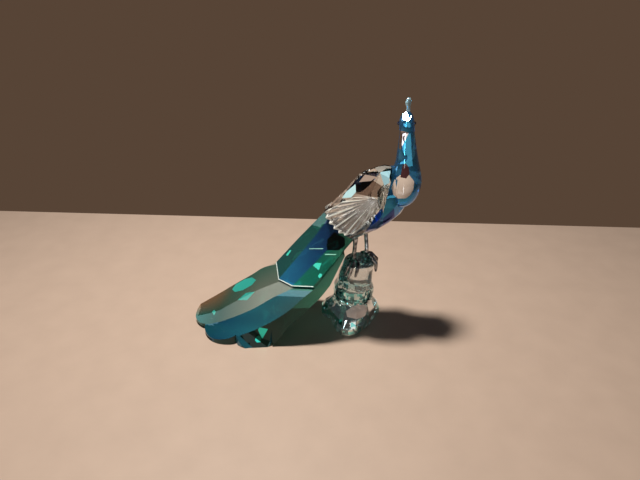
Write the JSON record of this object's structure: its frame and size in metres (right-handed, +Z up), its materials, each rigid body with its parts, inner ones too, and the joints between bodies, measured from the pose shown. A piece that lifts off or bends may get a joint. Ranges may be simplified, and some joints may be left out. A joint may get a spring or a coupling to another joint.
{
  "type": "peacock figurine",
  "caption": "Cut-crystal peacock with clear body and ribbed wings, blue neck, green faceted train and dark metal feet, standing on a clear crystal stump.",
  "frame": {"origin": "on the table, under the middle of the figurine's box", "axes": "+X is the way the bird's body faces, with the train going down towards -X; +Y is the bird's left, where the head looks; +Z is up"},
  "size_m": [0.1362, 0.0574, 0.1403],
  "materials": {
    "clear_crystal": "polished, faceted",
    "blue_crystal": "polished",
    "emerald_crystal": "polished, faceted",
    "green_crystal": "polished, faceted",
    "dark_silver": "dark silver, polished",
    "black_bead": "high gloss"
  },
  "bodies": {
    "root": {"stump_stand": "clear_crystal", "leg_right": "dark_silver", "leg_left": "dark_silver", "body": "clear_crystal", "wing_right": "clear_crystal", "wing_left": "clear_crystal", "neck_and_breast": "blue_crystal", "crest": "clear_crystal", "eye_right": "black_bead", "eye_left": "black_bead", "coverts": "emerald_crystal", "train": "green_crystal"}
  },
  "joints": []
}
